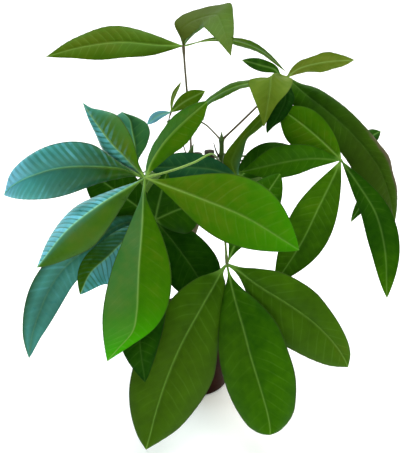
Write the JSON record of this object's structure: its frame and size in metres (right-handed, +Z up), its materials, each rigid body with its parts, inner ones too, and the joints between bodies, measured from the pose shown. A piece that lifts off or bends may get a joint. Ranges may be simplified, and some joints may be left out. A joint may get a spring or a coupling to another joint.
{
  "type": "potted money tree",
  "caption": "Small potted money tree with braided stems in a round nursery pot and palmate leaves that spread and droop over its rim.",
  "frame": {"origin": "centre of the pot's flat underside", "axes": "+Z up along the pot's axis, -Y towards the viewer, +X to the viewer's right"},
  "size_m": [0.4615, 0.3608, 0.474],
  "materials": {
    "pot": "satin",
    "soil": "matte",
    "bark": "matte",
    "shoot": "satin",
    "leaf": "satin"
  },
  "bodies": {
    "root": {"pot": "pot", "soil": "soil", "stem_middle": "bark", "stem_left": "bark", "stem_right": "bark", "shoot_right": "shoot", "shoot_left": "shoot", "shoot_back": "shoot", "leaf_front_left": "leaf", "leaf_front_low": "leaf", "leaf_right": "leaf", "leaf_upper_right": "leaf", "leaf_top": "leaf", "leaf_small_top": "leaf", "leaf_small_back": "leaf", "leaf_left_low": "leaf", "leaf_middle": "leaf", "leaf_right_back": "leaf", "leaf_left_back": "leaf", "leaf_back": "leaf"}
  },
  "joints": []
}
